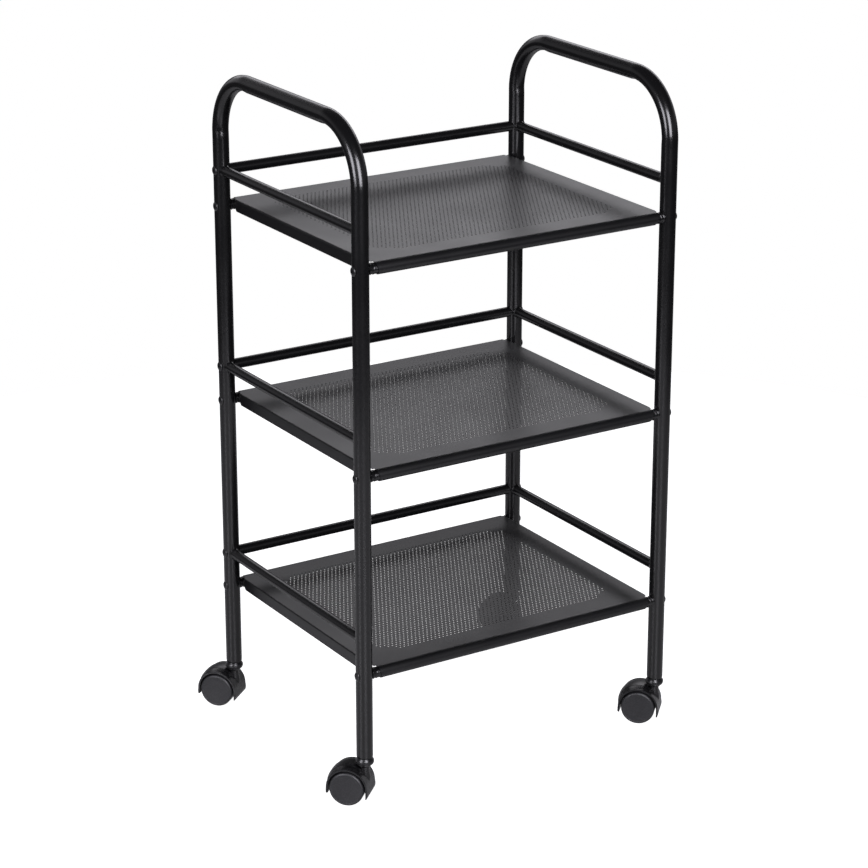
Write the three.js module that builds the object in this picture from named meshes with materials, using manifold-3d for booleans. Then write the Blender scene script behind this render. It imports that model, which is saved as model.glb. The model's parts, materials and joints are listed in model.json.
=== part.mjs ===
// Three-tier wire shelf cart on four swivel casters.
// Two bent tube side frames carry three sheet-metal shelves, guard rails and twin-wheel casters.
// Millimetres, +Z up, the floor at Z = 0. The open front with no guard rail faces -Y.
import * as THREE from 'three';
import { mergeVertices } from 'three/addons/utils/BufferGeometryUtils.js';
import Module from 'manifold-3d';

const wasm = await Module();
wasm.setup();

// Driving dimensions
const POST_SPACING_X = 406; // between the two side frames, tube centre to tube centre
const POST_SPACING_Y = 311; // between the two posts of one side frame
const POST_RADIUS = 9.5;
const POST_WALL = 1.5;
const POST_SIDES = 16;
const POST_FOOT_Z = 55.3; // lower end of the posts, just clear of the caster sockets
const HANDLE_CENTRE_Z = 783.8;
const HANDLE_BEND_RADIUS = 67.8;
const BEND_STEPS = 7;

const SHELF_AXIS_Z = [156.3, 392.5, 628.9]; // centres of the shelf tubes
const TIER_NAMES = ['bottom', 'middle', 'top'];
const RAIL_ABOVE_SHELF = 42.4;
const SIDE_RAIL_RADIUS = 6;
const SIDE_RAIL_WALL = 1.2;
const CROSS_TUBE_RADIUS = 6.25; // shelf tubes and back rails
const CROSS_TUBE_WALL = 1.2;
const TUBE_SIDES = 12; // rails and cross tubes
const INSERT_LENGTH = 16; // threaded insert in each end of a cross tube

const SHEET = 0.8;
const HEM_GAP = 0.3; // between a shelf tube and the rolled hem around it
const SHELF_HALF_WIDTH = 191; // to the outer face of the side flanges
const HEM_HALF_WIDTH = 184.5;
const FLANGE_HEIGHT = 14;
const FLANGE_HALF_LENGTH = 148;
const FLANGE_CHAMFER = 4;
const HEM_END_ANGLE = THREE.MathUtils.degToRad(-15); // where the rolled edge stops, under the sheet

const BOLT_RADIUS = 3;
const BOLT_LENGTH = 33;
const BOLT_HEAD_RADIUS = 5.5;
const BOLT_HEAD_HEIGHT = 1.5;

const WHEEL_RADIUS = 20.3;
const WHEEL_INNER_FACE = 3.1; // from the caster's middle plane
const WHEEL_OUTER_FACE = 19;
const AXLE_RADIUS = 2.5;
const AXLE_HALF_LENGTH = 14.5;
const TRAIL = 17.2; // axle behind the swivel axis
const HOOD_OUTER_RADIUS = 24.2;
const HOOD_INNER_RADIUS = 22;
const HOOD_HALF_WIDTH = 17.5;
const HOOD_REAR_DROP = 7; // rear skirt below the axle
const HOOD_FRONT_DROP = 10.5; // front skirt below the axle
const CROWN_RADIUS = 26.4; // raised band over the middle of the hood
const CROWN_HALF_WIDTH = 11.5;
const CROWN_END_ANGLE = THREE.MathUtils.degToRad(105); // in front, short of the neck
const WEB_HALF_WIDTH = 2.6;
const WEB_RADIUS = 17;
const NECK_RADIUS = 5.4;
const NECK_BURIED = 11; // where the neck starts inside the hood, above the axle
const NECK_TOP_Z = 44.4;
const STEM_RADIUS = 4;
const STEM_TOP_Z = 76;
const SOCKET_TOP_Z = 80;
const COLLAR_RADIUS = 10.6; // the socket's flange under the post
const COLLAR_FOOT_RADIUS = 7.1;
const COLLAR_WAIST_RADIUS = 8.2;
const COLLAR_TOP_RADIUS = 8.6;

const GAP = 0.3; // between pieces that touch
const SWIVEL_DEGREES = { front_left: 133.5, front_right: 136, back_left: 129.6, back_right: 133 };

// Materials, one per node
const blackEnamel = { color: 0x17171a, roughness: 0.3, metalness: 0.1 };
const shelfEnamel = { color: 0x242427, roughness: 0.35, metalness: 0.1 };
const boltBlack = { color: 0x141415, roughness: 0.4, metalness: 0.4 };
const casterPlastic = { color: 0x1a1a1b, roughness: 0.45, metalness: 0 };
const wheelPlastic = { color: 0x333336, roughness: 0.65, metalness: 0 };
const axleSteel = { color: 0x9a9a9c, roughness: 0.35, metalness: 1 };

// Joining and cutting
function toSolid(geometry) {
  const plain = geometry.clone();
  plain.deleteAttribute('normal');
  plain.deleteAttribute('uv');
  const merged = mergeVertices(plain, 1e-4);
  const mesh = new wasm.Mesh({
    numProp: 3,
    vertProperties: new Float32Array(merged.attributes.position.array),
    triVerts: new Uint32Array(merged.index.array),
  });
  return new wasm.Manifold(mesh);
}

function toGeometry(solid) {
  const mesh = solid.getMesh();
  const geometry = new THREE.BufferGeometry();
  geometry.setAttribute('position', new THREE.BufferAttribute(mesh.vertProperties, 3));
  geometry.setIndex(new THREE.BufferAttribute(mesh.triVerts, 1));
  return geometry;
}

function cut(geometry, cutters) {
  return toGeometry(cutters.reduce((solid, c) => solid.subtract(toSolid(c)), toSolid(geometry)));
}

function join(geometries) {
  return toGeometry(geometries.map(toSolid).reduce((a, b) => a.add(b)));
}

// Basic shapes
const AXES = {
  x: new THREE.Vector3(1, 0, 0),
  y: new THREE.Vector3(0, 1, 0),
  z: new THREE.Vector3(0, 0, 1),
};

// A cylinder along one axis, between two places on it.
function rod(axis, radius, from, to, sides, at = [0, 0, 0]) {
  const geometry = new THREE.CylinderGeometry(radius, radius, to - from, sides);
  geometry.translate(0, (from + to) / 2, 0);
  geometry.applyQuaternion(new THREE.Quaternion().setFromUnitVectors(AXES.y, AXES[axis]));
  return geometry.translate(...at);
}

// A turned shape about one axis. The profile lists [radius, place along the axis] pairs.
function turned(axis, profile, sides) {
  const points = profile.map(([radius, along]) => new THREE.Vector2(radius, along));
  const geometry = new THREE.LatheGeometry(points, sides);
  return geometry.applyQuaternion(new THREE.Quaternion().setFromUnitVectors(AXES.y, AXES[axis]));
}

// A flat outline drawn in the YZ plane and extruded along X.
function extrudedAlongX(shape, fromX, toX, curveSegments = 8) {
  const options = { depth: toX - fromX, bevelEnabled: false, curveSegments };
  const geometry = new THREE.ExtrudeGeometry(shape, options);
  geometry.applyMatrix4(new THREE.Matrix4().makeBasis(AXES.y, AXES.z, AXES.x));
  return geometry.translate(fromX, 0, 0);
}

// A flat outline drawn in the XZ plane and extruded along Y, half to each side.
function extrudedAcrossY(shape, halfWidth, curveSegments) {
  const options = { depth: 2 * halfWidth, bevelEnabled: false, curveSegments };
  const geometry = new THREE.ExtrudeGeometry(shape, options);
  geometry.translate(0, 0, -halfWidth);
  return geometry.rotateX(Math.PI / 2);
}

const cart = new THREE.Group();

function addPart(parent, name, geometry, look) {
  const mesh = new THREE.Mesh(geometry, new THREE.MeshStandardMaterial(look));
  mesh.name = name;
  parent.add(mesh);
  return mesh;
}

// Places shared by several pieces
const POST_X = POST_SPACING_X / 2;
const POST_Y = POST_SPACING_Y / 2;
const RAIL_Z = SHELF_AXIS_Z.map((z) => z + RAIL_ABOVE_SHELF);
const SIDES = [['left', -1], ['right', 1]];
const ENDS = [['front', -1], ['back', 1]];
const POST_CLEARANCE = POST_RADIUS + GAP;

// Side frames: one tube each, up the front post, over the handle and down the back post.
class SideFramePath extends THREE.Curve {
  constructor() {
    super();
    const bendY = POST_Y - HANDLE_BEND_RADIUS;
    const bendZ = HANDLE_CENTRE_Z - HANDLE_BEND_RADIUS;
    this.stations = [{ y: -POST_Y, z: POST_FOOT_Z, heading: Math.PI / 2 }];
    for (const [centreY, start] of [[-bendY, Math.PI], [bendY, Math.PI / 2]]) {
      for (let i = 0; i <= BEND_STEPS; i++) {
        const angle = start - (i / BEND_STEPS) * (Math.PI / 2);
        this.stations.push({
          y: centreY + HANDLE_BEND_RADIUS * Math.cos(angle),
          z: bendZ + HANDLE_BEND_RADIUS * Math.sin(angle),
          heading: angle - Math.PI / 2,
        });
      }
    }
    this.stations.push({ y: POST_Y, z: POST_FOOT_Z, heading: -Math.PI / 2 });
  }

  station(u) {
    return this.stations[Math.round(u * (this.stations.length - 1))];
  }

  getPointAt(u) {
    const { y, z } = this.station(u);
    return new THREE.Vector3(0, y, z);
  }

  getTangentAt(u) {
    const { heading } = this.station(u);
    return new THREE.Vector3(0, Math.cos(heading), Math.sin(heading));
  }
}

function ringShape(outer, inner) {
  const shape = new THREE.Shape().absarc(0, 0, outer, 0, 2 * Math.PI, false);
  shape.holes.push(new THREE.Path().absarc(0, 0, inner, 0, 2 * Math.PI, true));
  return shape;
}

function sideFrame() {
  const path = new SideFramePath();
  const tube = new THREE.ExtrudeGeometry(ringShape(POST_RADIUS, POST_RADIUS - POST_WALL), {
    steps: path.stations.length - 1,
    extrudePath: path,
    bevelEnabled: false,
    curveSegments: POST_SIDES / 2,
  });
  const drill = (y, z) => rod('x', BOLT_RADIUS + GAP, -12, 12, 12, [0, y, z]);
  const holes = [
    ...SHELF_AXIS_Z.map((z) => drill(-POST_Y, z)),
    ...SHELF_AXIS_Z.map((z) => drill(POST_Y, z)),
    ...RAIL_Z.map((z) => drill(POST_Y, z)),
  ];
  return cut(tube, holes);
}

for (const [side, sign] of SIDES) {
  addPart(cart, `${side}_frame_tube`, sideFrame(), blackEnamel).position.x = sign * POST_X;
}

// Side guard rails: short tubes coped to the posts and welded between them.
function sideRail() {
  const options = { depth: POST_SPACING_Y, bevelEnabled: false, curveSegments: TUBE_SIDES / 2 };
  const tube = new THREE.ExtrudeGeometry(
    ringShape(SIDE_RAIL_RADIUS, SIDE_RAIL_RADIUS - SIDE_RAIL_WALL), options);
  tube.rotateX(-Math.PI / 2).translate(0, -POST_Y, 0);
  const post = (y) => rod('z', POST_CLEARANCE, -20, 20, 24, [0, y, 0]);
  return cut(tube, [post(-POST_Y), post(POST_Y)]);
}

for (const [side, sign] of SIDES) {
  TIER_NAMES.forEach((tier, i) => {
    const rail = addPart(cart, `${side}_${tier}_side_rail`, sideRail(), blackEnamel);
    rail.position.set(sign * POST_X, 0, RAIL_Z[i]);
  });
}

// Cross tubes, for shelves and back rails: hollow between two threaded inserts, coped to the posts.
function crossTube() {
  const end = POST_X - POST_RADIUS + 2.5; // the cope takes back what passes the post's face
  const face = POST_X - POST_CLEARANCE;
  const hollow = CROSS_TUBE_RADIUS - CROSS_TUBE_WALL;
  const bore = BOLT_RADIUS + GAP;
  const insertEnd = face - INSERT_LENGTH;
  const half = [[CROSS_TUBE_RADIUS, end], [bore, end], [bore, insertEnd], [hollow, insertEnd]];
  const mirrored = half.map(([radius, along]) => [radius, -along]).reverse();
  const geometry = turned('x', [...mirrored, ...half, mirrored[0]], TUBE_SIDES);
  const post = (x) => rod('z', POST_CLEARANCE, -20, 20, 24, [x, 0, 0]);
  return cut(geometry, [post(-POST_X), post(POST_X)]);
}

TIER_NAMES.forEach((tier, i) => {
  for (const [end, sign] of ENDS) {
    const tube = addPart(cart, `${tier}_shelf_${end}_tube`, crossTube(), blackEnamel);
    tube.position.set(0, sign * POST_Y, SHELF_AXIS_Z[i]);
  }
  const rail = addPart(cart, `${tier}_back_rail`, crossTube(), blackEnamel);
  rail.position.set(0, POST_Y, RAIL_Z[i]);
});

// Shelf panels: a flat sheet with front and back edges rolled round the shelf tubes and side
// edges turned down. The origin of a panel is on the level of its tubes.
const HEM_INNER = CROSS_TUBE_RADIUS + HEM_GAP;
const HEM_OUTER = HEM_INNER + SHEET;
const SHELF_TOP = HEM_OUTER;

function shelfPanel() {
  const rightAngle = Math.PI / 2;
  const section = new THREE.Shape();
  section.absarc(-POST_Y, 0, HEM_OUTER, HEM_END_ANGLE, rightAngle, true);
  section.absarc(POST_Y, 0, HEM_OUTER, rightAngle, -Math.PI - HEM_END_ANGLE, true);
  section.absarc(POST_Y, 0, HEM_INNER, -Math.PI - HEM_END_ANGLE, rightAngle, false);
  section.absarc(-POST_Y, 0, HEM_INNER, rightAngle, 2 * Math.PI + HEM_END_ANGLE, false);
  const sheet = extrudedAlongX(section, -HEM_HALF_WIDTH, HEM_HALF_WIDTH, 6);

  const plate = new THREE.BoxGeometry(2 * SHELF_HALF_WIDTH, 2 * FLANGE_HALF_LENGTH, SHEET);
  plate.translate(0, 0, SHELF_TOP - SHEET / 2);

  const low = SHELF_TOP - FLANGE_HEIGHT;
  const outline = new THREE.Shape();
  outline.moveTo(-FLANGE_HALF_LENGTH, SHELF_TOP);
  outline.lineTo(-FLANGE_HALF_LENGTH, low + FLANGE_CHAMFER);
  outline.lineTo(-FLANGE_HALF_LENGTH + FLANGE_CHAMFER, low);
  outline.lineTo(FLANGE_HALF_LENGTH - FLANGE_CHAMFER, low);
  outline.lineTo(FLANGE_HALF_LENGTH, low + FLANGE_CHAMFER);
  outline.lineTo(FLANGE_HALF_LENGTH, SHELF_TOP);
  const left = extrudedAlongX(outline, -SHELF_HALF_WIDTH, -SHELF_HALF_WIDTH + SHEET);
  const right = extrudedAlongX(outline, SHELF_HALF_WIDTH - SHEET, SHELF_HALF_WIDTH);
  return join([sheet, plate, left, right]);
}

TIER_NAMES.forEach((tier, i) => {
  addPart(cart, `${tier}_shelf_panel`, shelfPanel(), shelfEnamel).position.z = SHELF_AXIS_Z[i];
});

// Bolts: through each post along X, into the insert of the cross tube behind it.
function bolt() {
  const dome = [[0, 1], [0.6, 0.9], [1, 0.3], [1, 0]];
  const head = dome.map(([r, h]) => [r * BOLT_HEAD_RADIUS, h * BOLT_HEAD_HEIGHT]);
  const shank = [[BOLT_RADIUS, 0], [BOLT_RADIUS, -BOLT_LENGTH], [0, -BOLT_LENGTH]];
  return turned('x', [...head, ...shank].reverse(), 10);
}

const boltSeat = POST_X + POST_CLEARANCE;
for (const [side, sign] of SIDES) {
  const addBolt = (name, y, z) => {
    const mesh = addPart(cart, `${side}_${name}_bolt`, bolt(), boltBlack);
    mesh.position.set(sign * boltSeat, y, z);
    mesh.rotation.z = sign > 0 ? 0 : Math.PI;
  };
  TIER_NAMES.forEach((tier, i) => {
    addBolt(`front_${tier}_shelf`, -POST_Y, SHELF_AXIS_Z[i]);
    addBolt(`back_${tier}_shelf`, POST_Y, SHELF_AXIS_Z[i]);
    addBolt(`back_${tier}_rail`, POST_Y, RAIL_Z[i]);
  });
}

// Casters. In each caster's own frame the swivel axis is Z, the axle lies along Y and the
// wheels trail towards +X.
function casterSocket() {
  const plug = POST_RADIUS - POST_WALL - 0.4;
  const bore = STEM_RADIUS + GAP;
  const foot = NECK_TOP_Z + GAP;
  const top = POST_FOOT_Z - GAP;
  return turned('z', [
    [bore, foot],
    [COLLAR_FOOT_RADIUS, foot],
    [COLLAR_WAIST_RADIUS, foot + 1.8],
    [COLLAR_RADIUS, foot + 4.2],
    [COLLAR_RADIUS, foot + 7],
    [COLLAR_TOP_RADIUS, top],
    [plug, top],
    [plug, SOCKET_TOP_Z],
    [bore, SOCKET_TOP_Z],
    [bore, foot],
  ], 14);
}

function casterHood() {
  const axlePlace = [TRAIL, 0, WHEEL_RADIUS];
  const frontAngle = Math.PI + Math.asin(HOOD_FRONT_DROP / HOOD_OUTER_RADIUS);
  const rearAngle = -Math.asin(HOOD_REAR_DROP / HOOD_OUTER_RADIUS);
  const section = new THREE.Shape();
  section.absarc(TRAIL, WHEEL_RADIUS, HOOD_OUTER_RADIUS, rearAngle, frontAngle, false);
  section.absarc(TRAIL, WHEEL_RADIUS, HOOD_INNER_RADIUS, frontAngle, rearAngle, true);
  const shell = extrudedAcrossY(section, HOOD_HALF_WIDTH, 8);

  const crownSection = new THREE.Shape();
  crownSection.absarc(TRAIL, WHEEL_RADIUS, CROWN_RADIUS, 0, CROWN_END_ANGLE, false);
  crownSection.absarc(TRAIL, WHEEL_RADIUS, HOOD_INNER_RADIUS + 1, CROWN_END_ANGLE, 0, true);
  const crown = extrudedAcrossY(crownSection, CROWN_HALF_WIDTH, 6);

  const webShape = new THREE.Shape();
  webShape.absarc(TRAIL, WHEEL_RADIUS, HOOD_INNER_RADIUS + 0.5, rearAngle, frontAngle, false);
  webShape.absarc(TRAIL, WHEEL_RADIUS, WEB_RADIUS, frontAngle, 2 * Math.PI + rearAngle, false);
  const web = extrudedAcrossY(webShape, WEB_HALF_WIDTH, 6);

  const hollow = rod('y', HOOD_INNER_RADIUS, -HOOD_HALF_WIDTH, HOOD_HALF_WIDTH, 32, axlePlace);
  const neck = cut(rod('z', NECK_RADIUS, WHEEL_RADIUS + NECK_BURIED, NECK_TOP_Z, 16), [hollow]);
  const stem = rod('z', STEM_RADIUS, NECK_TOP_Z - 5, STEM_TOP_Z, 16);
  const axleHole = rod('y', AXLE_RADIUS + GAP, -6, 6, 16, axlePlace);
  return cut(join([shell, crown, web, neck, stem]), [axleHole]);
}

function casterAxle() {
  return rod('y', AXLE_RADIUS, -AXLE_HALF_LENGTH, AXLE_HALF_LENGTH, 16);
}

// One wheel, outer disc towards +Y, with a blind bore that hides the axle's end.
function casterWheel() {
  const bore = AXLE_RADIUS + GAP;
  const boreEnd = AXLE_HALF_LENGTH + GAP;
  return turned('y', [
    [0, boreEnd],
    [bore, boreEnd],
    [bore, WHEEL_INNER_FACE],
    [WHEEL_RADIUS - 1.2, WHEEL_INNER_FACE],
    [WHEEL_RADIUS, WHEEL_INNER_FACE + 1.2],
    [WHEEL_RADIUS, WHEEL_OUTER_FACE - 1.8],
    [WHEEL_RADIUS - 1.6, WHEEL_OUTER_FACE],
    [0, WHEEL_OUTER_FACE],
  ], 24);
}

for (const [end, endSign] of ENDS) {
  for (const [side, sideSign] of SIDES) {
    const place = `${end}_${side}`;
    const caster = new THREE.Group();
    caster.position.set(sideSign * POST_X, endSign * POST_Y, 0);
    caster.rotation.z = THREE.MathUtils.degToRad(SWIVEL_DEGREES[place]);
    cart.add(caster);
    addPart(caster, `${place}_caster_socket`, casterSocket(), casterPlastic);
    addPart(caster, `${place}_caster_hood`, casterHood(), casterPlastic);
    const axle = addPart(caster, `${place}_caster_axle`, casterAxle(), axleSteel);
    axle.position.set(TRAIL, 0, WHEEL_RADIUS);
    const left = addPart(caster, `${place}_caster_left_wheel`, casterWheel(), wheelPlastic);
    left.position.copy(axle.position);
    const right = addPart(caster, `${place}_caster_right_wheel`, casterWheel(), wheelPlastic);
    right.position.copy(axle.position);
    right.rotation.z = Math.PI;
  }
}

// The origin is on the floor, under the middle of the cart's whole box.
const box = new THREE.Box3().setFromObject(cart, true);
const middle = box.getCenter(new THREE.Vector3());
cart.position.set(-middle.x, -middle.y, -box.min.z);

export default cart;
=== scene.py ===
# Looks of the wire shelf cart: bent black tubes, three perforated shelves and twin-wheel casters.
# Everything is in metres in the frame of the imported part; MM turns millimetres into metres.
import json
import math

import bmesh
import bpy
import numpy as np
from mathutils import Matrix, Vector
from mathutils.geometry import tessellate_polygon


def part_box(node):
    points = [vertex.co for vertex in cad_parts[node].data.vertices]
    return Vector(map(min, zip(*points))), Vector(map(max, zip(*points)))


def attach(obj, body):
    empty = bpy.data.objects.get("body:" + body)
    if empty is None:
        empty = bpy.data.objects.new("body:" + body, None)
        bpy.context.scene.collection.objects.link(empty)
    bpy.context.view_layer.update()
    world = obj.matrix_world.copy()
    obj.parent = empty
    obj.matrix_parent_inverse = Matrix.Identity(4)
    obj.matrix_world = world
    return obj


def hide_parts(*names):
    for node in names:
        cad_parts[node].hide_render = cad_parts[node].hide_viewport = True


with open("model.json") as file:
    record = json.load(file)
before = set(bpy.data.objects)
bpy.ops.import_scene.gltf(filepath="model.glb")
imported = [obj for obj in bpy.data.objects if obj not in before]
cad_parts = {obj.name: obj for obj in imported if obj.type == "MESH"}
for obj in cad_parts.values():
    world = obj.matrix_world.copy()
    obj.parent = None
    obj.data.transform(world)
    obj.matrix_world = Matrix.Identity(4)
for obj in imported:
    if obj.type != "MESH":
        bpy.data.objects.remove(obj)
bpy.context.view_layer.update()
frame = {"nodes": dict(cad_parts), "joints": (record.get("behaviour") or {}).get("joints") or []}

MM = 0.001
TIERS = ("bottom", "middle", "top")
SIDES = ("left", "right")
ENDS = ("front", "back")
ROOT = "cart_frame"
JOINTS = {joint["name"]: joint for joint in frame["joints"]}


def box_centre(node):
    low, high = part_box(node)
    return (low + high) / 2


def box_size(node):
    low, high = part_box(node)
    return high - low


# Places taken from the frame
POST = {
    (end, side): Vector(JOINTS[f"{end}_{side}_swivel"]["pos_m"][:2])
    for end in ENDS
    for side in SIDES
}
POST_RADIUS = box_size("left_frame_tube").x / 2
FOOT_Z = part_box("left_frame_tube")[0].z
HANDLE_TOP_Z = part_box("left_frame_tube")[1].z
CROSS_RADIUS = box_size("top_back_rail").z / 2
SIDE_RAIL_RADIUS = box_size("left_top_side_rail").x / 2


# ---------------------------------------------------------------- materials
NOISE_RANGE = (0.3, 0.7)  # where nearly all of a noise lies
SURFACE_DEPTH = 0.05  # depth of paint and plastic texture in mm
# noises by scale in cycles per metre, and detail
PAINT_SPECKS = (2600, 2)
GLOSS_CLOUDS = (14, 4)
ORANGE_PEEL = (170, 1)
FLOW_MARKS = (55, 4, (1, 1, 2.2))
DRAWN_LINES = (1400, 2, (0.08, 0.08, 1))
STAINS = (160, 4)


def shader(name, colour, roughness, **inputs):
    """A new material and its principled shader, with its plain values set on the shader itself."""
    material = bpy.data.materials.new(name)
    material.use_nodes = True
    principled = material.node_tree.nodes["Principled BSDF"]
    principled.inputs["Base Color"].default_value = (*colour, 1)
    principled.inputs["Roughness"].default_value = roughness
    for key, value in inputs.items():
        principled.inputs[key.replace("_", " ")].default_value = value
    return material, principled


def add_node(owner, kind, links=(), **settings):
    """A node of a material or world; links are (input name, output socket) pairs."""
    node = owner.node_tree.nodes.new(kind)
    for key, value in settings.items():
        setattr(node, key, value)
    for key, socket in links:
        owner.node_tree.links.new(socket, node.inputs[key])
    return node


def noise(owner, scale, detail, stretch=(1, 1, 1)):
    """Noise in the piece's own space, scale in cycles per metre."""
    place = add_node(owner, "ShaderNodeTexCoord").outputs["Object"]
    mapping = add_node(owner, "ShaderNodeMapping", [("Vector", place)])
    mapping.inputs["Scale"].default_value = stretch
    texture = add_node(owner, "ShaderNodeTexNoise", [("Vector", mapping.outputs[0])])
    texture.inputs["Scale"].default_value = scale
    texture.inputs["Detail"].default_value = detail
    return texture.outputs["Fac"]


def spread(owner, factor, to_range, from_range=NOISE_RANGE, smooth=False):
    """The factor spread from one range over another, cut off outside."""
    node = add_node(owner, "ShaderNodeMapRange", [("Value", factor)])
    if smooth:
        node.interpolation_type = "SMOOTHSTEP"
    for side, (low, high) in (("From", from_range), ("To", to_range)):
        node.inputs[f"{side} Min"].default_value = low
        node.inputs[f"{side} Max"].default_value = high
    return node.outputs["Result"]


def product(owner, first, second):
    node = add_node(owner, "ShaderNodeMath", [(0, first), (1, second)], operation="MULTIPLY")
    return node.outputs[0]


def mix_colour(owner, factor, first, second):
    node = add_node(owner, "ShaderNodeMix", [("Factor", factor)], data_type="RGBA")
    for socket in node.inputs:
        if socket.type == "RGBA":
            socket.default_value = (*(first if socket.name == "A" else second), 1)
    return next(s for s in node.outputs if s.type == "RGBA")


def bump(owner, height, strength, depth):
    """The normal over a height, which is depth mm at full strength."""
    node = add_node(owner, "ShaderNodeBump", [("Height", height)])
    node.inputs["Strength"].default_value = strength
    node.inputs["Distance"].default_value = depth * MM
    return node.outputs["Normal"]


def wire(material, principled, **sockets):
    for key, socket in sockets.items():
        material.node_tree.links.new(socket, principled.inputs[key.replace("_", " ")])


def coated_steel(name, dark, light, gloss, peel):
    """Black powder coat: slight orange peel, fine specks and patches of different gloss."""
    material, principled = shader(name, dark, gloss[0])
    specks = spread(material, noise(material, *PAINT_SPECKS), (0, 1))
    wire(
        material,
        principled,
        Base_Color=mix_colour(material, specks, dark, light),
        Roughness=spread(material, noise(material, *GLOSS_CLOUDS), gloss),
        Normal=bump(material, noise(material, *ORANGE_PEEL), peel, SURFACE_DEPTH),
    )
    return material


def moulded_plastic(name, dark, light, gloss, grain, grain_size):
    """Moulded plastic with a fine spark-eroded grain and faint flow marks."""
    material, principled = shader(name, dark, gloss[0])
    texture = noise(material, 1 / (grain_size * MM), 3)
    wire(
        material,
        principled,
        Base_Color=mix_colour(material, spread(material, texture, (0, 1)), dark, light),
        Roughness=spread(material, noise(material, *FLOW_MARKS), gloss),
        Normal=bump(material, texture, grain, SURFACE_DEPTH),
    )
    return material


def drawn_steel(name):
    """Drawn steel with fine lines round it and faint stains."""
    material, principled = shader(name, (0.42, 0.42, 0.43), 0.3, Metallic=1.0)
    lines = noise(material, *DRAWN_LINES)
    stains = noise(material, *STAINS)
    wire(
        material,
        principled,
        Base_Color=mix_colour(material, stains, (0.30, 0.30, 0.31), (0.5, 0.5, 0.51)),
        Roughness=spread(material, lines, (0.25, 0.42)),
        Normal=bump(material, lines, 0.2, 0.02),
    )
    return material


TUBE_PAINT = coated_steel(
    "tube_paint", dark=(0.0022, 0.0022, 0.0024), light=(0.0042, 0.0042, 0.0046),
    gloss=(0.19, 0.25), peel=0.012)
SHEET_PAINT = coated_steel(
    "sheet_paint", dark=(0.0022, 0.0022, 0.0025), light=(0.0042, 0.0042, 0.0047),
    gloss=(0.32, 0.38), peel=0.02)
BOLT_PAINT = coated_steel(
    "bolt_oxide", dark=(0.0045, 0.0045, 0.0048), light=(0.009, 0.009, 0.0095),
    gloss=(0.22, 0.34), peel=0.3)
CASTER_PLASTIC = moulded_plastic(
    "caster_moulding", dark=(0.003, 0.003, 0.0034), light=(0.006, 0.006, 0.0066),
    gloss=(0.24, 0.32), grain=0.12, grain_size=0.5)
WHEEL_PLASTIC = moulded_plastic(
    "wheel_moulding", dark=(0.002, 0.002, 0.0025), light=(0.018, 0.018, 0.020),
    gloss=(0.40, 0.52), grain=1.0, grain_size=1.2)
AXLE_STEEL = drawn_steel("axle_steel_drawn")


# ---------------------------------------------------------------- mesh helpers
WELD_DISTANCE = 1e-7


def grid_faces(rows, columns, wrap_columns, start=0):
    """Quads over a grid of points stored row by row."""
    across = columns if wrap_columns else columns - 1
    faces = []
    for r in range(rows - 1):
        for c in range(across):
            d = (c + 1) % columns
            a = start + r * columns
            faces.append((a + c, a + d, a + columns + d, a + columns + c))
    return faces


def new_mesh(name, points, faces, material, sharp_deg=40):
    """A closed mesh with outward normals, smooth except over sharp angles. Points are in metres."""
    mesh = bpy.data.meshes.new(name)
    mesh.from_pydata([tuple(p) for p in points], [], faces)
    work = bmesh.new()
    work.from_mesh(mesh)
    bmesh.ops.remove_doubles(work, verts=work.verts, dist=WELD_DISTANCE)
    bmesh.ops.recalc_face_normals(work, faces=work.faces)
    work.to_mesh(mesh)
    work.free()
    mesh.materials.append(material)
    return shade(mesh, sharp_deg)


def shade(mesh, sharp_deg):
    mesh.polygons.foreach_set("use_smooth", [True] * len(mesh.polygons))
    mesh.set_sharp_from_angle(angle=math.radians(sharp_deg))
    return mesh


def merged(parts):
    """Several (points, faces) lists as one."""
    points, faces = [], []
    for some_points, some_faces in parts:
        offset = len(points)
        points += [Vector(p) for p in some_points]
        faces += [tuple(i + offset for i in face) for face in some_faces]
    return points, faces


def lathe(profile, sides):
    """A turned shape about Z from (radius, height) pairs in mm; a radius of 0 closes it."""
    points = [
        Vector((r * math.cos(a), r * math.sin(a), z)) * MM
        for r, z in profile
        for a in (2 * math.pi * k / sides for k in range(sides))
    ]
    return points, grid_faces(len(profile), sides, True)


def loft(rings):
    """Rings of equally many points joined one to the next, closed by a flat face at each end."""
    columns = len(rings[0])
    points = [p for ring in rings for p in ring]
    faces = grid_faces(len(rings), columns, True)
    faces.append(tuple(range(columns)))
    faces.append(tuple((len(rings) - 1) * columns + c for c in range(columns)))
    return points, faces


def new_object(name, data, matrix=Matrix.Identity(4)):
    thing = bpy.data.objects.new(name, data)
    bpy.context.scene.collection.objects.link(thing)
    thing.matrix_world = matrix
    return thing


def place_piece(node, mesh, body, matrix=Matrix.Identity(4)):
    """Shows a mesh in place of a CAD node, riding on its body."""
    piece = new_object(f"{node}_detailed", mesh, matrix)
    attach(piece, body)
    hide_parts(node)


def smoothstep(low, high, x):
    t = min(max((x - low) / (high - low), 0), 1)
    return t * t * (3 - 2 * t)


# ---------------------------------------------------------------- side frames
BEND_RADIUS = 67.8 * MM
POST_WALL = 1.5 * MM
HOOP_SIDES = 40
FOOT_LIP = ((0, 8.6), (0.35, 8.95), (1.1, 9.3), (2.4, 9.5))  # distance from the cut end, radius
BEND_PINCH = 0.11  # how much the inside of a bend is pulled in, as a share of the radius
BEND_SWELL = 0.01  # how much a bend widens to the sides
BEND_RUN_IN = 6 * MM
BEND_RINGS = 22
RUN_IN_RINGS = [k * 1.5 * MM for k in range(-5, 6)]  # places about each end of a bend
FOOT_SLEEVE = 15 * MM  # how far up the open foot the inner wall is made
STRAIGHT = HANDLE_TOP_Z - POST_RADIUS - BEND_RADIUS - FOOT_Z  # length of a post up to its bend
ARC = BEND_RADIUS * math.pi / 2  # length of a bend


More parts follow.
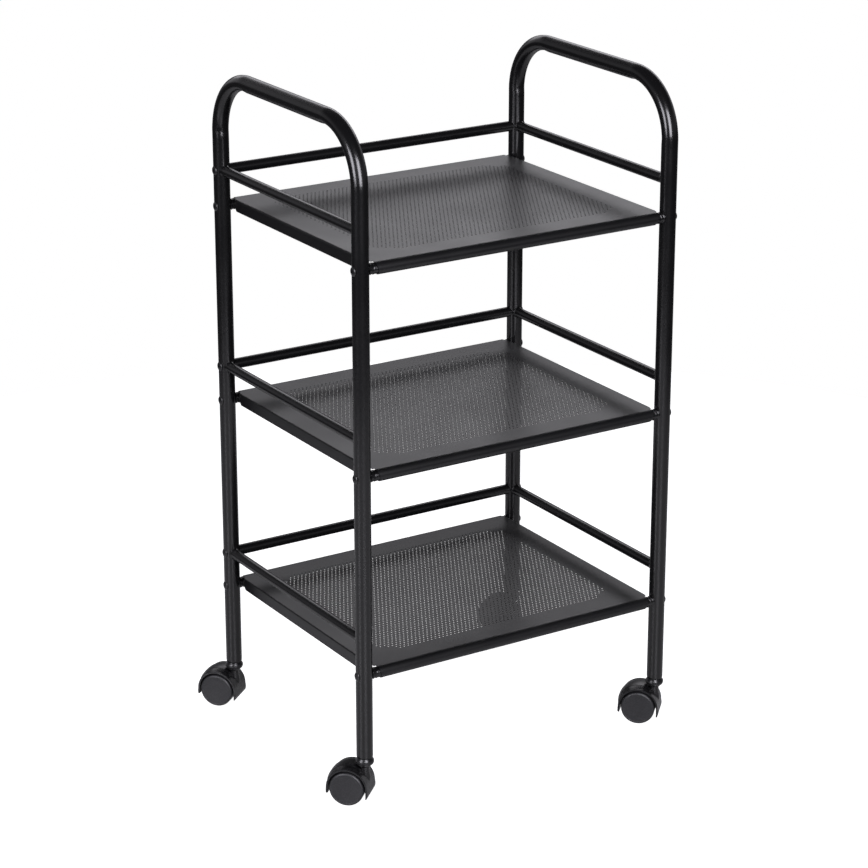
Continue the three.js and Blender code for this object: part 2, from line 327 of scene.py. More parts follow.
def hoop_place(s, half_y):
    """Place and heading at a distance along the hoop's centreline, in its YZ plane."""
    bend_z = FOOT_Z + STRAIGHT
    if s <= STRAIGHT:
        return -half_y, FOOT_Z + s, math.pi / 2
    s -= STRAIGHT
    if s <= ARC:
        a = math.pi - s / BEND_RADIUS
        return (-half_y + BEND_RADIUS + BEND_RADIUS * math.cos(a),
                bend_z + BEND_RADIUS * math.sin(a), a - math.pi / 2)
    return -half_y + BEND_RADIUS + (s - ARC), bend_z + BEND_RADIUS, 0


def side_hoop(side):
    """One bent tube: up the front post, over the handle and down the back post."""
    front, back = POST["front", side], POST["back", side]
    middle_y, half_y = (front.y + back.y) / 2, (back.y - front.y) / 2
    stations = [(d * MM, r * MM) for d, r in FOOT_LIP]
    stations += [(s, POST_RADIUS) for s in (
        STRAIGHT - 10 * MM,
        *(STRAIGHT + step for step in RUN_IN_RINGS),
        *(STRAIGHT + ARC * k / BEND_RINGS for k in range(3, BEND_RINGS - 2)),
        *(STRAIGHT + ARC + step for step in RUN_IN_RINGS),
        STRAIGHT + ARC + 12 * MM,
    )]

    def ring(y, z, heading, radius, pinch):
        out = Vector((0, -math.sin(heading), math.cos(heading)))
        points = []
        for k in range(HOOP_SIDES):
            a = 2 * math.pi * k / HOOP_SIDES
            reach = math.cos(a) * radius
            if reach < 0:
                reach *= 1 - BEND_PINCH * pinch
            across = math.sin(a) * radius * (1 + BEND_SWELL * pinch)
            points.append(Vector((front.x + across, middle_y + y, z)) + out * reach)
        return points

    inner = POST_RADIUS - POST_WALL
    rings = [ring(-half_y, FOOT_Z + up, math.pi / 2, inner, 0) for up in (FOOT_SLEEVE, 0)]
    for s, radius in stations:
        y, z, heading = hoop_place(s, half_y)
        pinch = smoothstep(STRAIGHT - BEND_RUN_IN, STRAIGHT + BEND_RUN_IN, s)
        pinch *= 1 - smoothstep(STRAIGHT + ARC - BEND_RUN_IN, STRAIGHT + ARC + BEND_RUN_IN, s)
        rings.append(ring(y, z, heading, radius, pinch))
    rings += [[Vector((p.x, 2 * middle_y - p.y, p.z)) for p in r] for r in reversed(rings)]
    return new_mesh(f"{side}_hoop", *loft(rings), TUBE_PAINT, sharp_deg=35)


for side in SIDES:
    place_piece(f"{side}_frame_tube", side_hoop(side), ROOT)


# ---------------------------------------------------------------- rails and cross tubes
TUBE_SIDES = 32
WELD_BEAD = ((0, 0.9), (0.5, 0.95), (1.0, 0.7), (1.5, 0.3), (2.1, 0.0))  # from the post, rise
WELD_RIPPLE = 0.16  # height of the ripples, as a share of the bead's rise
WELD_RIPPLES = 11  # ripples round the tube
WELD_SUNK = 0.05 * MM  # how far a welded end reaches into the post's wall
END_FACE_RINGS = (0.02, 0.35, 0.7)  # rings across a coped end, as shares of its radius
CLEARANCE = 0.3 * MM  # between a post and a tube that is screwed to it


def cope(radius, angle, post_radius):
    """How far short of the post's centre a tube wall ends, at an angle round the tube."""
    return math.sqrt(post_radius ** 2 - (radius * math.cos(angle)) ** 2)


def half_tube(profile, length, post_radius):
    """Rings from a coped end to the middle. The tube lies along Z with its middle at 0, and
    profile lists (distance from the post's wall, radius, ripple), in mm."""
    end_face = [(0, profile[0][1] * share, 0) for share in END_FACE_RINGS]
    rings = []
    for distance, radius, ripple in end_face + profile:
        ring = []
        for k in range(TUBE_SIDES):
            a = 2 * math.pi * k / TUBE_SIDES
            r = (radius + ripple * math.sin(WELD_RIPPLES * a)) * MM
            z = length / 2 - cope(r, a, post_radius) - distance * MM
            ring.append(Vector((r * math.cos(a), r * math.sin(a), z)))
        rings.append(ring)
    return rings


def coped_tube(name, profile, length, post_radius):
    upper = half_tube(profile, length, post_radius)
    lower = [[Vector((p.x, p.y, -p.z)) for p in ring] for ring in reversed(upper)]
    return new_mesh(name, *loft(upper + lower), TUBE_PAINT, sharp_deg=32)


side_radius = SIDE_RAIL_RADIUS / MM
rail_profile = [
    (d, side_radius + rise, WELD_RIPPLE * rise) for d, rise in WELD_BEAD
] + [(4, side_radius, 0)]
post_gap_y = POST["back", "left"].y - POST["front", "left"].y
side_rail_mesh = coped_tube("side_rail", rail_profile, post_gap_y, POST_RADIUS - WELD_SUNK)

cross = CROSS_RADIUS / MM
CRIMP_RINGS = (1.3, 4.9)  # from the post's wall to the middle of each raised ring
# across a raised ring: (place along the tube, rise)
CRIMP_SHAPE = ((-0.75, -0.2), (-0.5, 0.2), (-0.15, 0.36), (0.15, 0.36), (0.5, 0.2), (0.75, -0.2))
ROUNDED_EDGE = [(0, cross - 0.3, 0), (0.3, cross, 0)]


def crimped_profile():
    """The end of a cross tube: a rounded edge and two raised rings beside the post."""
    rings = [(middle + along, cross + rise, 0)
             for middle in CRIMP_RINGS for along, rise in CRIMP_SHAPE]
    return ROUNDED_EDGE + rings + [(CRIMP_RINGS[-1] + 1.5, cross, 0)]


plain_profile = ROUNDED_EDGE + [(4, cross, 0)]
post_gap_x = POST["front", "right"].x - POST["front", "left"].x
cross_post = POST_RADIUS + CLEARANCE
shelf_tube_mesh = coped_tube("shelf_tube", crimped_profile(), post_gap_x, cross_post)
back_rail_mesh = coped_tube("back_rail", plain_profile, post_gap_x, cross_post)

ALONG_Y = Matrix.Rotation(math.radians(-90), 4, "X")
# a tube made along Z, laid along X, whose copes still face the upright posts
ALONG_X = Matrix(((0, 0, 1, 0), (1, 0, 0, 0), (0, 1, 0, 0), (0, 0, 0, 1)))

for tier in TIERS:
    for side in SIDES:
        node = f"{side}_{tier}_side_rail"
        matrix = Matrix.Translation(box_centre(node)) @ ALONG_Y
        place_piece(node, side_rail_mesh, ROOT, matrix)
    for end in ENDS:
        node = f"{tier}_shelf_{end}_tube"
        matrix = Matrix.Translation(box_centre(node)) @ ALONG_X
        place_piece(node, shelf_tube_mesh, ROOT, matrix)
    node = f"{tier}_back_rail"
    matrix = Matrix.Translation(box_centre(node)) @ ALONG_X
    place_piece(node, back_rail_mesh, ROOT, matrix)


# ---------------------------------------------------------------- perforated shelves (mm)
SHEET = 0.55  # thickness
HOLE_PITCH = 5.25
ROW_PITCH = HOLE_PITCH * math.sqrt(3) / 2
HOLE_RADIUS = 1.06
HOLE_SIDES = 10
HOLE_ROWS = 56
HOLES_PER_ROW = 61
CORNER_STEPS = (4, 3, 2)  # holes left out at each end of the outermost rows
HEM_OUTER = cross + 1.1  # radius of the outside of the hem, rolled round its tube
HEM_TURN = math.radians(255)
HEM_STEPS = 20
HEM_HALF_WIDTH = 186.3  # half its length along the tube
HEM_TAPER = 3.6  # the rolled edge is cut back towards its underside
FLANGE_BEND = 1.7
FLANGE_BEND_STEPS = 6
FLANGE_HEIGHT = 14.0
FLANGE_HALF_LENGTH = 148.0
FLANGE_CHAMFER = 4.0
CORNER_HALF_LENGTH = 153.0  # the flat sheet reaches in between the posts up to here
SUPPORT = 0.5  # flat strip beside each bend
LEAST_AREA = 1e-6  # thinner triangles are left out
MERGE_STEPS = 1000  # per mm: corners of neighbouring cells that round to the same place are one
SHELF_HALF_WIDTH = box_size("top_shelf_panel").x / 2 / MM
HALF_DEPTH = post_gap_y / 2 / MM


def hole_centres():
    """Centres of the staggered holes, with stepped corners."""
    centres = []
    for row in range(HOLE_ROWS):
        count = HOLES_PER_ROW - row % 2
        from_edge = min(row, HOLE_ROWS - 1 - row)
        left_out = CORNER_STEPS[from_edge] if from_edge < len(CORNER_STEPS) else 0
        y = (row - (HOLE_ROWS - 1) / 2) * ROW_PITCH
        for k in range(left_out, count - left_out):
            centres.append(((k - (count - 1) / 2) * HOLE_PITCH, y))
    return np.array(centres)


def cell_triangles():
    """Triangles between a six-sided cell (points 0 to 5) and its hole (points 6 onwards)."""
    outer = [math.radians(30 + 60 * k) for k in range(6)]
    inner = [2 * math.pi * k / HOLE_SIDES + math.radians(30) for k in range(HOLE_SIDES)]
    triangles, i, j = [], 0, 0
    while i < 6 or j < HOLE_SIDES:
        next_outer = outer[i] + math.radians(60) if i < 6 else math.inf
        next_inner = inner[j] + 2 * math.pi / HOLE_SIDES if j < HOLE_SIDES else math.inf
        a, b = i % 6, 6 + j % HOLE_SIDES
        if next_outer <= next_inner:
            triangles.append((a, (i + 1) % 6, b))
            i += 1
        else:
            triangles.append((a, 6 + (j + 1) % HOLE_SIDES, b))
            j += 1
    return np.array(triangles)


def perforated_field():
    """Flat points and triangles of all cells, and the loop round the field's jagged outline."""
    centres = hole_centres()
    cell = HOLE_PITCH / math.sqrt(3)
    corner_angles = np.radians(30 + 60 * np.arange(6))
    hole_angles = 2 * np.pi * np.arange(HOLE_SIDES) / HOLE_SIDES + np.radians(30)
    pattern = np.concatenate([
        np.stack([np.cos(corner_angles), np.sin(corner_angles)], 1) * cell,
        np.stack([np.cos(hole_angles), np.sin(hole_angles)], 1) * HOLE_RADIUS,
    ])
    loose = (centres[:, None, :] + pattern[None]).reshape(-1, 2)
    template = cell_triangles()
    starts = np.arange(len(centres)) * len(pattern)
    triangles = (starts[:, None, None] + template[None]).reshape(-1, 3)
    places = np.round(loose * MERGE_STEPS).astype(np.int64)
    _, first, inverse = np.unique(places, axis=0, return_index=True, return_inverse=True)
    points = loose[first]
    triangles = inverse.reshape(-1)[triangles]
    is_corner = np.zeros(len(points), bool)
    is_corner[inverse.reshape(-1)[(starts[:, None] + np.arange(6)).reshape(-1)]] = True
    return points, triangles, is_corner


def open_edges(faces):
    """Directed edges that belong to one face only."""
    seen = {}
    for face in faces:
        for a, b in zip(face, (*face[1:], face[0])):
            if (b, a) in seen:
                del seen[b, a]
            else:
                seen[a, b] = True
    return list(seen)


def shelf_skin():
    """The unrolled sheet: flat coordinates (u, v) and faces of its upper skin."""
    points, triangles, is_corner = perforated_field()
    faces = [tuple(int(i) for i in t) for t in triangles]
    follow = {a: b for a, b in open_edges(faces) if is_corner[a] and is_corner[b]}
    start = min(follow)
    loop = [start]
    while follow[loop[-1]] != start:
        loop.append(follow[loop[-1]])
    flat = [tuple(p) for p in points]

    flat_u = SHELF_HALF_WIDTH - FLANGE_BEND - SUPPORT
    flat_v = HALF_DEPTH - SUPPORT
    hem_u, flange_v = HEM_HALF_WIDTH, FLANGE_HALF_LENGTH
    quarter = [(flat_u, flange_v), (flat_u, CORNER_HALF_LENGTH), (hem_u, CORNER_HALF_LENGTH),
               (hem_u, flat_v)]
    outline = (quarter + [(-u, v) for u, v in quarter[::-1]] + [(-u, -v) for u, v in quarter]
               + [(u, -v) for u, v in quarter[::-1]])
    outline_index = {}
    for corner in outline:
        outline_index[corner] = len(flat)
        flat.append(corner)
    index = [outline_index[c] for c in outline] + loop
    rings = [[Vector((*c, 0)) for c in outline], [Vector((*flat[i], 0)) for i in loop]]
    for t in tessellate_polygon(rings):
        a, b, c = (index[i] for i in t)
        area = ((flat[b][0] - flat[a][0]) * (flat[c][1] - flat[a][1])
                - (flat[c][0] - flat[a][0]) * (flat[b][1] - flat[a][1]))
        if abs(area) > LEAST_AREA:
            faces.append((a, b, c) if area > 0 else (a, c, b))

    def add_strips(first, rows, turn):
        """Strips of quads outwards from an edge of the flat part. Each row is two points."""
        last = [outline_index[first[0]], outline_index[first[1]]]
        for row in rows:
            new = [len(flat), len(flat) + 1]
            flat.extend(row)
            quad = (last[0], last[1], new[1], new[0])
            faces.append(quad if turn else quad[::-1])
            last = new

    hem_rows = [
        HALF_DEPTH + HEM_OUTER * HEM_TURN * k / HEM_STEPS for k in range(HEM_STEPS + 1)]
    bend_length = FLANGE_BEND * math.pi / 2
    bend_start = SHELF_HALF_WIDTH - FLANGE_BEND
    drop = FLANGE_HEIGHT - FLANGE_BEND
    flange_rows = [bend_start + bend_length * k / FLANGE_BEND_STEPS
                   for k in range(FLANGE_BEND_STEPS + 1)]
    flange_rows += [bend_start + bend_length + SUPPORT,
                    bend_start + bend_length + drop - FLANGE_CHAMFER]
    for sign in (1, -1):
        hem = []
        for v in hem_rows:
            short_u = hem_u - HEM_TAPER * smoothstep(0, HEM_OUTER * math.pi, v - HALF_DEPTH)
            hem.append(((-short_u, sign * v), (short_u, sign * v)))
        add_strips(((-hem_u, sign * flat_v), (hem_u, sign * flat_v)), hem, sign > 0)
        rows = [((sign * u, -flange_v), (sign * u, flange_v)) for u in flange_rows]
        tip = bend_start + bend_length + drop
        short = flange_v - FLANGE_CHAMFER
        rows.append(((sign * tip, -short), (sign * tip, short)))
        add_strips(((sign * flat_u, -flange_v), (sign * flat_u, flange_v)), rows, sign < 0)
    return np.array(flat), faces


def rolled(flat, depth):
    """Places of unrolled points at a depth under the skin: hems round the tubes, flanges down."""
    u, v = flat[:, 0], flat[:, 1]
    x, y = u.copy(), v.copy()
    z = np.full(len(flat), HEM_OUTER - depth)
    over = np.abs(v) - HALF_DEPTH
    hem = over > 0
    turn = over[hem] / HEM_OUTER
    y[hem] = np.sign(v[hem]) * (HALF_DEPTH + (HEM_OUTER - depth) * np.sin(turn))
    z[hem] = (HEM_OUTER - depth) * np.cos(turn)
    start = SHELF_HALF_WIDTH - FLANGE_BEND
    over = np.abs(u) - start
    side = over > 0
    turn = np.minimum(over[side] / FLANGE_BEND, np.pi / 2)
    down = np.maximum(over[side] - FLANGE_BEND * np.pi / 2, 0)
    x[side] = np.sign(u[side]) * (start + (FLANGE_BEND - depth) * np.sin(turn))
    z[side] = HEM_OUTER - FLANGE_BEND + (FLANGE_BEND - depth) * np.cos(turn) - down
    return np.stack([x, y, z], 1) * MM


def shelf_mesh():
    flat, faces = shelf_skin()
    count = len(flat)
    points = np.concatenate([rolled(flat, 0), rolled(flat, SHEET)])
    under = [tuple(i + count for i in reversed(face)) for face in faces]
    walls = [(b, a, a + count, b + count) for a, b in open_edges(faces)]
    mesh = bpy.data.meshes.new("perforated_shelf")
    mesh.from_pydata(points.tolist(), [], faces + under + walls)
    mesh.materials.append(SHEET_PAINT)
    return shade(mesh, sharp_deg=50)


perforated = shelf_mesh()
for tier in TIERS:
    node = f"{tier}_shelf_panel"
    place = box_centre(node)
    place.z = box_centre(f"{tier}_shelf_front_tube").z
    place_piece(node, perforated, ROOT, Matrix.Translation(place))


# ---------------------------------------------------------------- bolts (mm, head towards +Z)
HEAD_RADIUS = 5.4
HEAD_HEIGHT = 1.75
HEAD_SUNK = 0.55  # the post is dimpled under each head
HEAD_DOME = (  # shares of its radius and height
    (0, 1), (0.25, 0.98), (0.5, 0.88), (0.72, 0.7), (0.88, 0.46), (0.97, 0.22), (1, 0.08),
    (0.98, 0))
SHANK_RADIUS = 3.0
RECESS_REACH = 2.7
RECESS_WIDTH = 1.1
RECESS_DEPTH = 1.5
BOLT_SIDES = 32
SHANK_CHAMFER = 0.5
# the slots of the cross: height, share of their reach, share of their width
RECESS_RINGS = ((HEAD_HEIGHT + 1, 1.12, 1.2), (HEAD_HEIGHT - RECESS_DEPTH, 0.45, 0.6))


def bolt_mesh(length):
    """A pan head with a cross recess, on a plain shank of the given length."""
    profile = [(HEAD_RADIUS * r, HEAD_HEIGHT * h) for r, h in HEAD_DOME]
    profile += [(SHANK_RADIUS, 0), (SHANK_RADIUS, SHANK_CHAMFER - length),
                (SHANK_RADIUS - SHANK_CHAMFER, -length), (0, -length)]
    head = new_mesh("bolt_blank", *lathe(profile, BOLT_SIDES), BOLT_PAINT)
    blank = new_object("bolt_blank", head)
    slots = []
    for turn in (math.pi / 4, math.pi * 3 / 4):
        around = Matrix.Rotation(turn, 3, "Z")
        rings = [
            [around @ Vector((sx * RECESS_REACH * reach, sy * RECESS_WIDTH / 2 * width, z)) * MM
             for sx, sy in ((1, 1), (-1, 1), (-1, -1), (1, -1))]
            for z, reach, width in RECESS_RINGS
        ]
        slots.append(new_object("recess", new_mesh("recess", *loft(rings), BOLT_PAINT)))
    for tool in slots:
        cutting = blank.modifiers.new("recess", "BOOLEAN")
        cutting.operation, cutting.solver, cutting.object = "DIFFERENCE", "EXACT", tool
    graph = bpy.context.evaluated_depsgraph_get()
    mesh = bpy.data.meshes.new_from_object(blank.evaluated_get(graph))
    for thing in (blank, *slots):
        bpy.data.objects.remove(thing)
    return shade(mesh, sharp_deg=35)


bolt = bolt_mesh(box_size("left_front_top_shelf_bolt").x / MM - HEAD_HEIGHT)
for side in SIDES:
    for tier in TIERS:
        for name in (f"front_{tier}_shelf", f"back_{tier}_shelf", f"back_{tier}_rail"):
            node = f"{side}_{name}_bolt"
            place = box_centre(node)
            outwards = -1 if side == "left" else 1
            place.x = POST["front", side].x + outwards * (POST_RADIUS - HEAD_SUNK * MM)
            facing = Matrix.Rotation(math.radians(90 * outwards), 4, "Y")
            place_piece(node, bolt, ROOT, Matrix.Translation(place) @ facing)


# ---------------------------------------------------------------- casters (mm)
# Each caster has its swivel axis on Z, its axle along Y and its wheels behind, towards +X.
WHEEL_RADIUS = JOINTS["front_left_left_wheel_spin"]["pos_m"][2] / MM
TRAIL = (Vector(JOINTS["front_left_left_wheel_spin"]["pos_m"][:2])
         - POST["front", "left"]).length / MM
COLLAR = (  # (radius, height), from inside under it, up round its outside and down its bore
    (4.3, 44.7), (6.9, 44.7), (7.2, 45.2), (8.0, 46.4), (9.3, 47.3), (9.9, 47.9), (9.75, 48.1),
    (9.8, 48.3), (10.25, 48.9), (10.6, 50.0), (10.6, 51.4), (10.35, 52.5), (9.7, 53.5),
    (9.0, 54.4), (8.6, 55.0), (7.6, 55.0), (7.6, 80.0), (4.3, 80.0), (4.3, 44.7))
COLLAR_SIDES = 48

HOOD_INNER = 22.0  # radius of its inner face about the axle
HOOD_REAR_DROP = 7.0  # from the axle down to each tip
HOOD_FRONT_DROP = 10.5
HOOD_STEPS = 32
# half of the hood's cross-section: (distance from the middle plane, rise over the inner face)
HOOD_OUTSIDE = (
    (0, 4.6), (4.0, 4.5), (7.6, 4.2), (8.0, 3.85), (11.0, 3.4), (13.6, 2.85), (14.0, 2.5),
    (15.7, 2.2), (16.1, 2.45), (17.1, 2.45), (17.5, 2.1), (17.5, 0.5), (17.2, 0.1))
HOOD_INSIDE = ((16.6, 0.0), (8.0, 0.0), (0, 0.0))
# along its two ends: (rise over the tip, fullness of the wall)
REAR_TIP = ((0, 0.45), (0.25, 0.75), (0.8, 0.92), (1.6, 1.0), (4.5, 1.0))
FRONT_TIP = ((8, 1.12), (6, 1.22), (4, 1.2), (2.2, 1.05), (1.0, 0.85), (0.3, 0.6), (0, 0.35))
REAR_SPLAY = 0.3  # how far each end stands off the inner face
FRONT_SPLAY = 0.1
# the crown along its middle is only on the arch: it fades out between these places
CROWN_BASE = 2.2  # rise without it
CROWN_FADE_Z = (-6, 8)
CROWN_FADE_X = (-17, -4)

WEB_HALF_WIDTH = 2.6
WEB_RADIUS = 17.0
WEB_TOP_RADIUS = HOOD_INNER + 0.6

# the neck under the collar and the stem in it: (height, radius, shift towards the wheels)
NECK_TOP = 44.4
NECK_RINGS = (
    (NECK_TOP, 5.4, 0), (40, 5.4, 0), (37, 5.5, -0.1), (34, 5.9, -0.3), (31, 6.5, -0.3),
    (28, 7.1, 0.2), (25, 7.4, 1.2))
NECK_SIDES = 28
NECK_REACH = HOOD_INNER + 0.8  # the neck's foot stays in the hood's wall, clear of the wheels
STEM_RADIUS = 4.0
STEM_TOP = 76.0
STEM_CHAMFER = 0.8
STEM_RINGS = ((STEM_TOP, STEM_RADIUS - STEM_CHAMFER, 0),
              (STEM_TOP - STEM_CHAMFER, STEM_RADIUS, 0), (NECK_TOP, STEM_RADIUS, 0))

# one wheel about Z, with its outer disc towards +Z: (radius, distance from the middle plane)
WHEEL_PROFILE = (
    (0, 14.8), (2.8, 14.8), (2.8, 3.1), (6.5, 3.1), (6.7, 3.6), (15.6, 3.6), (16.0, 3.1),
    (19.1, 3.1), (20.0, 3.5), (20.3, 4.3), (20.3, 10.9), (20.18, 11.05), (20.3, 11.2),
    (20.3, 16.9), (20.1, 17.6), (19.7, 18.1), (18.9, 18.7), (18.3, 19.0), (17.9, 19.0),
    (17.6, 18.8), (17.3, 18.75), (0, 18.75))
WHEEL_SIDES = 64


def hood_stations():
    """(inner point, outward direction, fullness) along the hood from its rear tip to its front
    tip, round the axle in the XZ plane. Fullness is 1 over the arch and falls at the tips."""
    stations = []
    for rise, fullness in REAR_TIP:
        place = Vector((HOOD_INNER + REAR_SPLAY, 0, rise - HOOD_REAR_DROP))
        stations.append((place, Vector((1, 0, 0)), fullness))
    for k in range(HOOD_STEPS + 1):
        a = math.pi * k / HOOD_STEPS
        out = Vector((math.cos(a), 0, math.sin(a)))
        stations.append((out * HOOD_INNER, out, 1.0))
    for rise, fullness in FRONT_TIP:
        place = Vector((-HOOD_INNER - FRONT_SPLAY, 0, rise - HOOD_FRONT_DROP))
        stations.append((place, Vector((-1, 0, 0)), fullness))
    return stations


def hood_shell():
    """The arched cover over the two wheels."""
    outside = [(-y, h) for y, h in reversed(HOOD_OUTSIDE)] + list(HOOD_OUTSIDE[1:])
    inside = list(HOOD_INSIDE) + [(-y, h) for y, h in reversed(HOOD_INSIDE[:-1])]
    rings = []
    for place, out, fullness in hood_stations():
        crown = smoothstep(*CROWN_FADE_Z, place.z) * smoothstep(*CROWN_FADE_X, place.x)
        ring = []
        for y, h in outside + inside:
            rise = min(h, CROWN_BASE) + max(h - CROWN_BASE, 0) * crown
            p = place + out * (rise * fullness) + Vector((0, y, 0))
            ring.append((p + Vector((TRAIL, 0, WHEEL_RADIUS))) * MM)
        rings.append(ring)
    return loft(rings)


def arc(radius, start, end, steps):
    """Points (x, z) along an arc, with its angles in degrees."""
    angles = (math.radians(start + (end - start) * k / steps) for k in range(steps + 1))
    return [(math.cos(a) * radius, math.sin(a) * radius) for a in angles]


def hood_web():
    """The plate between the two wheels."""
    outline = arc(WEB_TOP_RADIUS, -10, 190, 24) + arc(WEB_RADIUS, 200, 340, 16)
    return loft([
        [Vector((x + TRAIL, y, z + WHEEL_RADIUS)) * MM for x, z in outline]
        for y in (-WEB_HALF_WIDTH, WEB_HALF_WIDTH)
    ])


def hood_neck():
    """The stem, and under it the neck, flaring into the front of the hood."""
    rings = []
    for z, radius, shift in STEM_RINGS + NECK_RINGS:
        ring = []
        for k in range(NECK_SIDES):
            a = 2 * math.pi * k / NECK_SIDES
            out = Vector((radius * math.cos(a) + shift - TRAIL, 0, z - WHEEL_RADIUS))
            if z < NECK_TOP and out.length < NECK_REACH:
                out = out.normalized() * NECK_REACH
            ring.append(Vector((out.x + TRAIL, radius * math.sin(a), out.z + WHEEL_RADIUS)) * MM)
        rings.append(ring)
    return loft(rings)


hood_mesh = new_mesh("caster_cover", *merged([hood_shell(), hood_web(), hood_neck()]),
                     CASTER_PLASTIC, sharp_deg=28)
collar_mesh = new_mesh("caster_collar", *lathe(COLLAR, COLLAR_SIDES), CASTER_PLASTIC,
                       sharp_deg=30)
wheel_mesh = new_mesh("caster_wheel", *lathe(WHEEL_PROFILE, WHEEL_SIDES), WHEEL_PLASTIC,
                      sharp_deg=30)

for end in ENDS:
    for side in SIDES:
        place = f"{end}_{side}"
        hub = Vector(JOINTS[f"{place}_left_wheel_spin"]["pos_m"])
        post = POST[end, side].to_3d()
        behind = Vector((hub.x - post.x, hub.y - post.y, 0)).normalized()
        across = Vector((0, 0, 1)).cross(behind)
        facing = Matrix((behind, across, (0, 0, 1))).transposed().to_4x4()
        stand = Matrix.Translation(post) @ facing
        body = f"{place}_caster"
        place_piece(f"{place}_caster_socket", collar_mesh, ROOT, stand)
        place_piece(f"{place}_caster_hood", hood_mesh, body, stand)
        for wheel, turn in (("left", -90), ("right", 90)):
            spin = Matrix.Translation(hub) @ facing @ Matrix.Rotation(math.radians(turn), 4, "X")
            place_piece(f"{place}_caster_{wheel}_wheel", wheel_mesh, f"{place}_{wheel}_wheel",
                        spin)
        for material_slot in frame["nodes"][f"{place}_caster_axle"].material_slots:
            material_slot.material = AXLE_STEEL


# ---------------------------------------------------------------- floor, light and camera
CAMERA_PLACE = (-1.6744, -2.6799, 1.4936)
CAMERA_PITCH = 19.8  # degrees downwards
CAMERA_AZIMUTH = -32.104  # degrees about Z, from looking along +Y
CAMERA_LENS = 118.25
CAMERA_SENSOR = 36

FLOOR_RADIUS = 1350.0  # mm
FLOOR_SIDES = 96
FLOOR_DROP = 0.4  # mm under the wheels
FLOOR_ALBEDO = 0.38
FLOOR_ROUGHNESS = 0.3
FLOOR_PAINTED_GLOW = (0.1, 0.03)  # painted glow of the paper, standing in for light it gives back: near the cart and further off
FLOOR_FADE = (0.45, 1.1)  # metres from the cart's middle for these
FLOOR_LIFT = 1.0  # lifts the paper in view to the white of the backdrop

BACKDROP_DISTANCE = 2.2
BACKDROP_HALF_WIDTH = 1.7
BACKDROP_Z = (0.0, 1.9)
BACKDROP_ALBEDO = 0.1
BACKDROP_GLOW = (0.08, 1.95)  # at the two heights below
BACKDROP_FADE = (1.05, 1.48)
BACKDROP_SIDES = (0.88, 1.3)  # factors at the two places across it below
BACKDROP_TURN = (-0.4, 0.5)
BACKDROP_COLOUR = (0.965, 0.955, 1.0, 1)

# the light of the world as factors: (strengths, range over which they change)
WORLD_BEHIND = ((0.3, 1.0), (0.35, 0.88))  # by the cosine to the direction behind the cart
WORLD_HORIZON = ((0.1, 0.82), (-0.04, 0.04))  # by height
WORLD_ROOF = ((1.0, 0.14), (0.22, 0.6))  # by height
WORLD_COLOUR = (0.96, 0.95, 1.0, 1)

LAMP_COLOUR = (0.94, 0.93, 1.0)
# name: (place, aim, width, height, watts, seen in reflections)
LAMPS = {
    "overhead": ((0.3, 0.6, 2.6), (0, 0, 0.2), 1.6, 1.6, 18, False),
    "box_left": ((-2.08, -0.45, 1.1), (-0.2, -0.15, 0.78), 0.9, 1.1, 38, True),
    "box_right": ((-0.47, -1.89, 1.32), (0, 0, 0.78), 1.0, 1.35, 58, True),
}
WHITE = (1, 1, 1, 1)


def stage_floor():
    """Pale paper under the cart, white in view, whose glow outside view is painted light standing
    in for the light it gives back, stronger near the cart.
    """
    material, principled = shader("floor_board", (FLOOR_ALBEDO,) * 3, FLOOR_ROUGHNESS,
                                  Emission_Color=WHITE)
    in_view = add_node(material, "ShaderNodeLightPath").outputs["Is Camera Ray"]
    place = add_node(material, "ShaderNodeTexCoord").outputs["Object"]
    radius = add_node(material, "ShaderNodeVectorMath", [(0, place)], operation="LENGTH")
    # painted glow: emission standing in for light the paper gives back, stronger near the cart
    given = spread(material, radius.outputs["Value"], FLOOR_PAINTED_GLOW, FLOOR_FADE)
    glow = add_node(material, "ShaderNodeMix", [("Factor", in_view), ("A", given)])
    glow.inputs["B"].default_value = FLOOR_LIFT
    wire(material, principled, Emission_Strength=glow.outputs["Result"])
    disc = lathe([(0, -FLOOR_DROP), (FLOOR_RADIUS, -FLOOR_DROP)], FLOOR_SIDES)
    new_object("floor", new_mesh("floor", *disc, material))


def studio_world():
    """A white backdrop in view; the light itself is brighter behind the cart than in front."""
    world = bpy.data.worlds.new("studio")
    bpy.context.scene.world = world
    world.use_nodes = True
    world.node_tree.nodes.clear()
    direction = add_node(world, "ShaderNodeTexCoord").outputs["Generated"]
    height = add_node(world, "ShaderNodeSeparateXYZ", [("Vector", direction)]).outputs["Z"]
    along = add_node(world, "ShaderNodeVectorMath", [(0, direction)], operation="DOT_PRODUCT")
    azimuth = math.radians(-CAMERA_AZIMUTH)
    along.inputs[1].default_value = (math.sin(azimuth), math.cos(azimuth), 0)
    behind = spread(world, along.outputs["Value"], *WORLD_BEHIND, smooth=True)
    horizon = spread(world, height, *WORLD_HORIZON, smooth=True)
    roof = spread(world, height, *WORLD_ROOF, smooth=True)
    strength = product(world, product(world, behind, horizon), roof)
    lit = add_node(world, "ShaderNodeBackground", [("Strength", strength)])
    lit.inputs["Color"].default_value = WORLD_COLOUR
    seen = add_node(world, "ShaderNodeBackground")
    seen.inputs["Color"].default_value = WHITE
    in_view = add_node(world, "ShaderNodeLightPath").outputs["Is Camera Ray"]
    mix = add_node(world, "ShaderNodeMixShader",
                   [(0, in_view), (1, lit.outputs[0]), (2, seen.outputs[0])])
    add_node(world, "ShaderNodeOutputWorld", [("Surface", mix.outputs[0])])


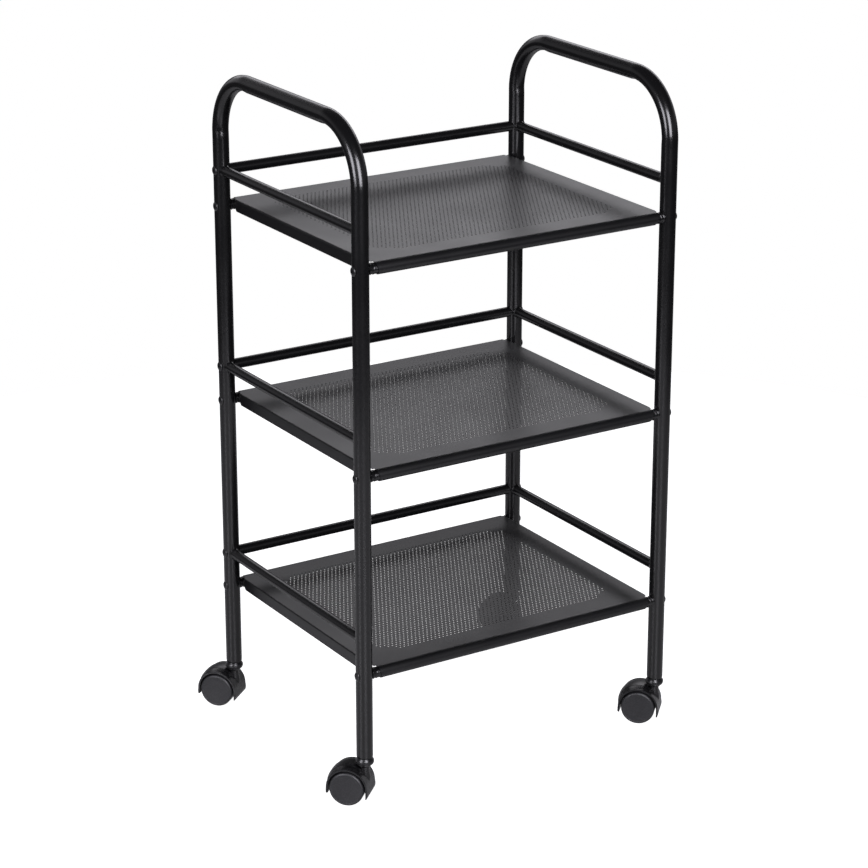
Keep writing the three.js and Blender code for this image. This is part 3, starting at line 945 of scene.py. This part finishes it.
def stage_backdrop():
    """A paper screen behind the cart, brighter towards its top and its right; it shows only in
    reflections."""
    material, principled = shader("backdrop_paper", (BACKDROP_ALBEDO,) * 3, 1.0,
                                  Specular_IOR_Level=0, Emission_Color=BACKDROP_COLOUR)
    place = add_node(material, "ShaderNodeTexCoord").outputs["Object"]
    split = add_node(material, "ShaderNodeSeparateXYZ", [("Vector", place)])
    upwards = spread(material, split.outputs["Z"], BACKDROP_GLOW, BACKDROP_FADE, smooth=True)
    sideways = spread(material, split.outputs["X"], BACKDROP_SIDES, BACKDROP_TURN)
    wire(material, principled, Emission_Strength=product(material, upwards, sideways))
    mesh = bpy.data.meshes.new("backdrop")
    wide, (low, high) = BACKDROP_HALF_WIDTH, BACKDROP_Z
    mesh.from_pydata([(-wide, 0, low), (wide, 0, low), (wide, 0, high), (-wide, 0, high)],
                     [], [(0, 1, 2, 3)])
    mesh.materials.append(material)
    turn = Matrix.Rotation(math.radians(CAMERA_AZIMUTH), 4, "Z")
    screen = new_object("backdrop", mesh, turn @ Matrix.Translation((0, BACKDROP_DISTANCE, 0)))
    screen.visible_camera = False


def softbox(name, place, aim, width, height, power, reflected):
    light = bpy.data.lights.new(name, "AREA")
    light.shape, light.size, light.size_y, light.energy = "RECTANGLE", width, height, power
    light.color = LAMP_COLOUR
    lamp = new_object(name, light)
    lamp.location = place
    lamp.rotation_euler = (Vector(aim) - Vector(place)).to_track_quat("-Z", "Y").to_euler()
    lamp.visible_camera = False
    lamp.visible_glossy = reflected


stage_floor()
studio_world()
stage_backdrop()
for name, lamp in LAMPS.items():
    softbox(name, *lamp)

scene = bpy.context.scene
scene.view_settings.view_transform = "Standard"
scene.cycles.denoising_prefilter = "FAST"  # the default one smears the rows of small holes
camera = new_object("camera", bpy.data.cameras.new("camera"))
camera.location = CAMERA_PLACE
camera.rotation_euler = (math.radians(90 - CAMERA_PITCH), 0, math.radians(CAMERA_AZIMUTH))
camera.data.sensor_width = CAMERA_SENSOR
camera.data.lens = CAMERA_LENS
camera.data.clip_end = 50
scene.camera = camera

bpy.context.view_layer.update()
